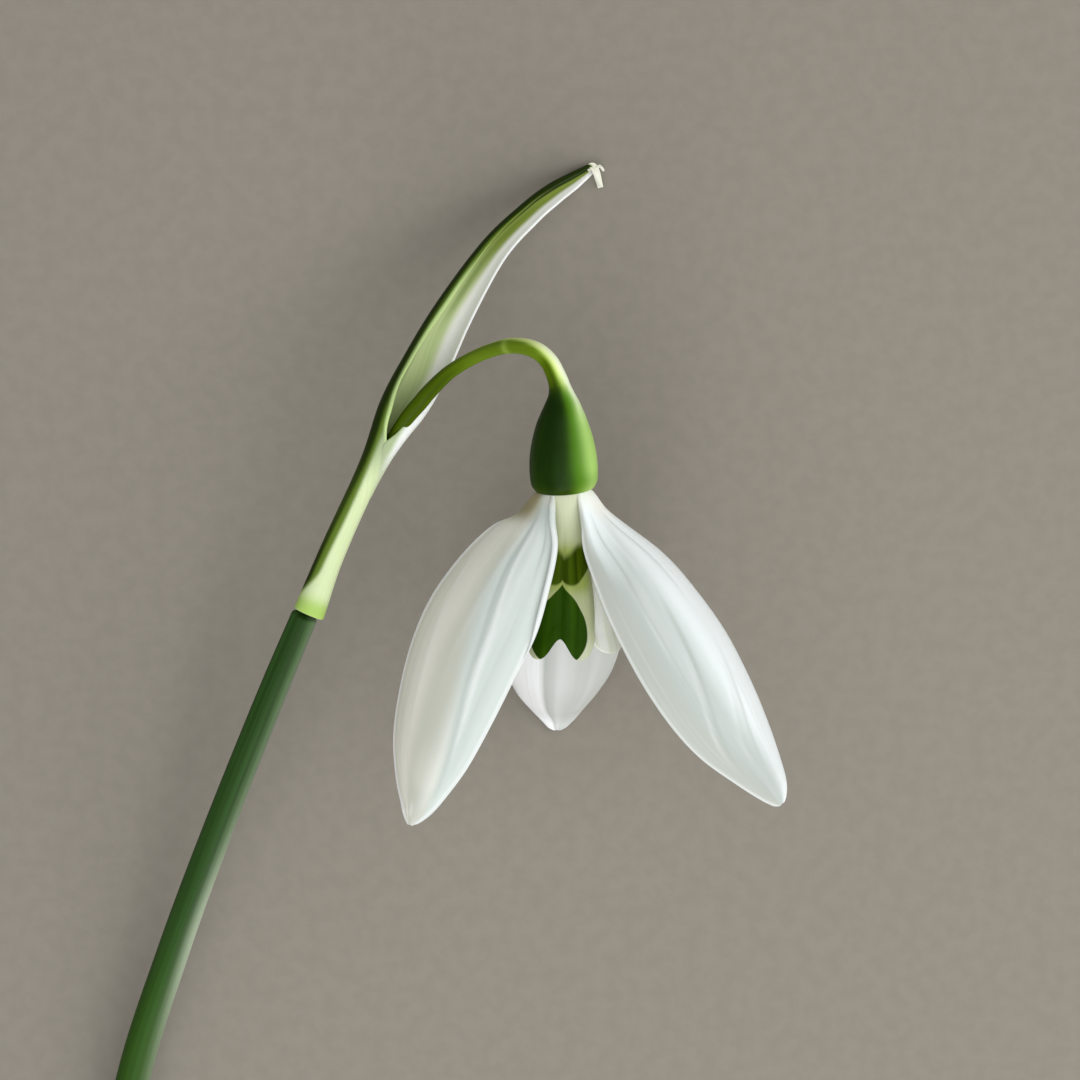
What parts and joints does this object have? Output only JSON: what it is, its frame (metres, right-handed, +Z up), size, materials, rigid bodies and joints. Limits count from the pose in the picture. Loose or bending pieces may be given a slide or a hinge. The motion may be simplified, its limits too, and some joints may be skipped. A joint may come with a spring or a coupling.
{
  "type": "cut snowdrop flower",
  "caption": "Single nodding white flower on a curved green stem with a long sheathing bract, laid down as picked.",
  "frame": {"origin": "on the table, under the middle of the whole bloom", "axes": "+Y up the stem towards the spathe's tip, +X towards the flower, +Z up off the table"},
  "size_m": [0.054, 0.094, 0.0238],
  "materials": {
    "stem": "dark green with a bluish waxy bloom",
    "spathe": "green keel with pale translucent margins",
    "flower_stalk": "smooth, slightly glossy",
    "ovary": "smooth and glossy",
    "outer_petal": "matt white with fine lengthways veins",
    "inner_petal": "matt cream white with dark green marks on the front",
    "stamen": "matt orange anther on a pale filament",
    "style": "smooth pale green"
  },
  "bodies": {
    "root": {"scape": "stem", "spathe": "spathe", "pedicel": "flower_stalk", "ovary": "ovary", "outer_tepal_left": "outer_petal", "outer_tepal_right": "outer_petal", "outer_tepal_back": "outer_petal", "inner_tepal_front": "inner_petal", "inner_tepal_right": "inner_petal", "inner_tepal_left": "inner_petal", "stamen_1": "stamen", "stamen_2": "stamen", "stamen_3": "stamen", "stamen_4": "stamen", "stamen_5": "stamen", "stamen_6": "stamen", "style": "style"}
  },
  "joints": []
}
